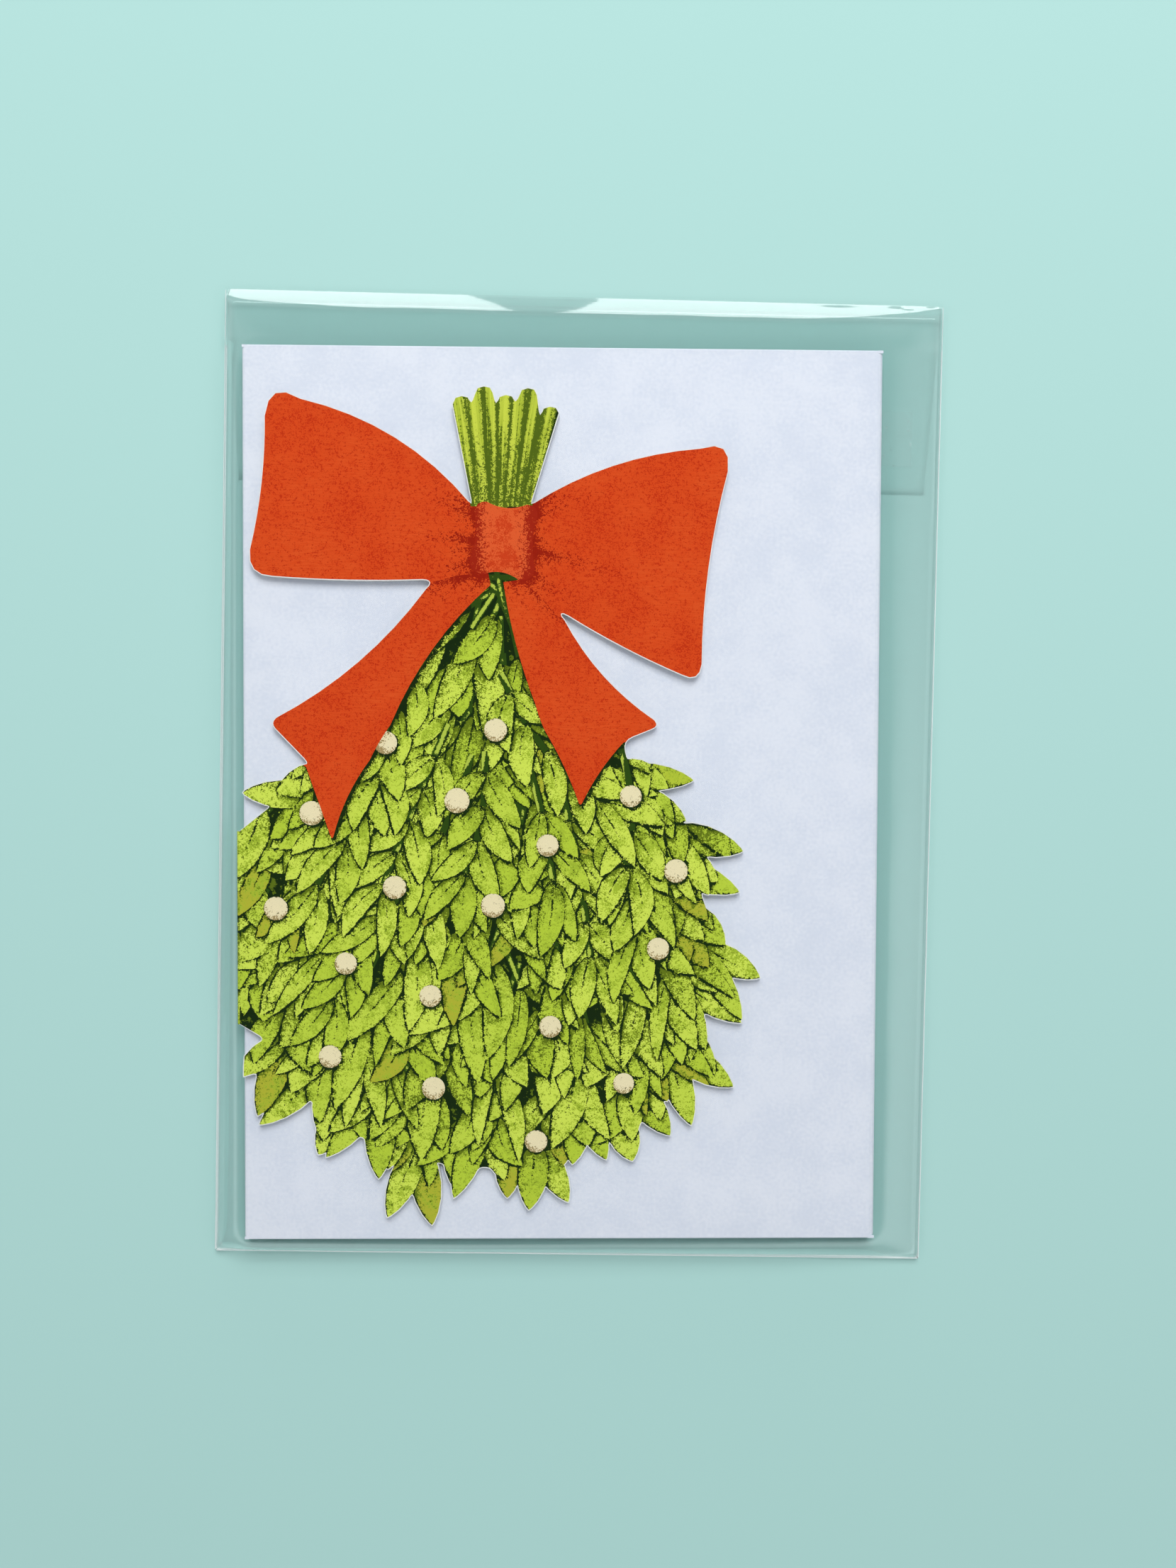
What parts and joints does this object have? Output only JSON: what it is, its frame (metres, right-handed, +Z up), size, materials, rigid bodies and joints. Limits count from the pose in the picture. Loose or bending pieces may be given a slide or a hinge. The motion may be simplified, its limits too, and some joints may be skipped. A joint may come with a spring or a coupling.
{
  "type": "die-cut greeting card in a clear sleeve",
  "caption": "Folded greeting card die-cut to the outline of a tied leafy bunch with a bow, lying on its paper envelope in a clear film sleeve with a fold-over flap.",
  "frame": {"origin": "under the middle of the sleeve, on the surface that it lies on", "axes": "+Z up out of the card's printed side, +Y along the sleeve towards its folded flap and the picture's cut stems, +X across the sleeve away from the card's fold"},
  "size_m": [0.1042, 0.1406, 0.0036],
  "materials": {
    "card": "printed card stock, matt, white at the cut edge",
    "envelope": "matt wove paper",
    "gum": "dried gum film",
    "film": "clear polypropylene film",
    "adhesive": "clear pressure-sensitive adhesive"
  },
  "bodies": {
    "pouch": {"sleeve": "film", "card": "card", "envelope": "envelope", "envelope_flap_gum": "gum", "envelope_seam_upper": "gum", "envelope_seam_lower": "gum"},
    "flap": {"sleeve_flap": "film", "sleeve_adhesive": "adhesive"}
  },
  "joints": [
    {"name": "flap_hinge", "type": "hinge", "parent": "pouch", "child": "flap", "pos_m": [0, 0.06992, 0.00042], "axis": [1, 0, 0], "range_deg": [0, 180]}
  ]
}
